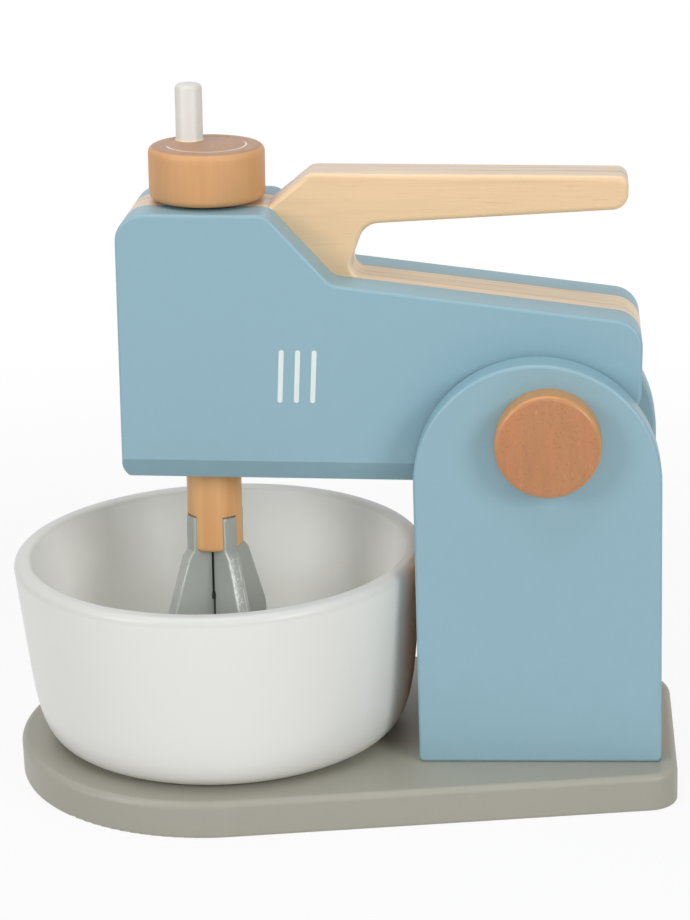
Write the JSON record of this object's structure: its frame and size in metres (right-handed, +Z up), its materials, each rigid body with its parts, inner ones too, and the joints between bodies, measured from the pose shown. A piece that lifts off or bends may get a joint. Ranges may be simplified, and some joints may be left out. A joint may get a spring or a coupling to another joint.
{
  "type": "wooden toy stand mixer",
  "caption": "Wooden toy stand mixer: layered head with a grip handle tips back on a pivot between uprights, a top knob turns a crossed beater over a loose bowl on a tapered base.",
  "frame": {"origin": "on the underside of the base, below the axis of the bowl", "axes": "+Z up; +X from the bowl towards the uprights and the open end of the handle; -Y towards the front face"},
  "size_m": [0.1942, 0.1202, 0.2021],
  "materials": {
    "blue_paint": "satin blue-grey paint",
    "taupe_paint": "satin taupe paint",
    "pale_wood": "clear matt lacquer",
    "beech": "clear matt lacquer",
    "cream_lacquer": "glossy off-white lacquer",
    "white_paint": "satin white paint",
    "grey_paint": "semi-gloss grey paint",
    "nylon": "natural nylon",
    "steel": "zinc plated"
  },
  "bodies": {
    "stand": {"base_plate": "taupe_paint", "base_screws": "steel", "front_upright": "blue_paint", "rear_upright": "blue_paint", "spacer_block": "pale_wood", "stand_dowels": "beech", "pivot_axle": "beech", "front_pivot_cap": "beech", "rear_pivot_cap": "beech", "front_pivot_washer": "nylon", "rear_pivot_washer": "nylon"},
    "head": {"head_front_panel": "blue_paint", "head_core": "pale_wood", "head_rear_panel": "blue_paint", "head_dowels": "beech", "knob_washer": "nylon"},
    "mixer": {"knob": "beech", "knob_lever": "white_paint", "spindle": "beech", "shaft_washer": "nylon", "beater_shaft": "beech", "beater_blade_a": "grey_paint", "beater_blade_b": "grey_paint"},
    "bowl": {"bowl": "cream_lacquer"}
  },
  "joints": [
    {"name": "head_tilt", "type": "hinge", "parent": "stand", "child": "head", "pos_m": [0.0968, 0, 0.1077], "axis": [0, 1, 0], "range_deg": [0, 88.5]},
    {"name": "knob_spin", "type": "hinge", "parent": "head", "child": "mixer", "pos_m": [0.00033, 0, 0.12236], "axis": [0.0244, 0, 0.9997], "continuous": true},
    {"name": "bowl_lift", "type": "slide", "parent": "stand", "child": "bowl", "axis": [0, 0, 1], "range_m": [0, 0.009]}
  ]
}
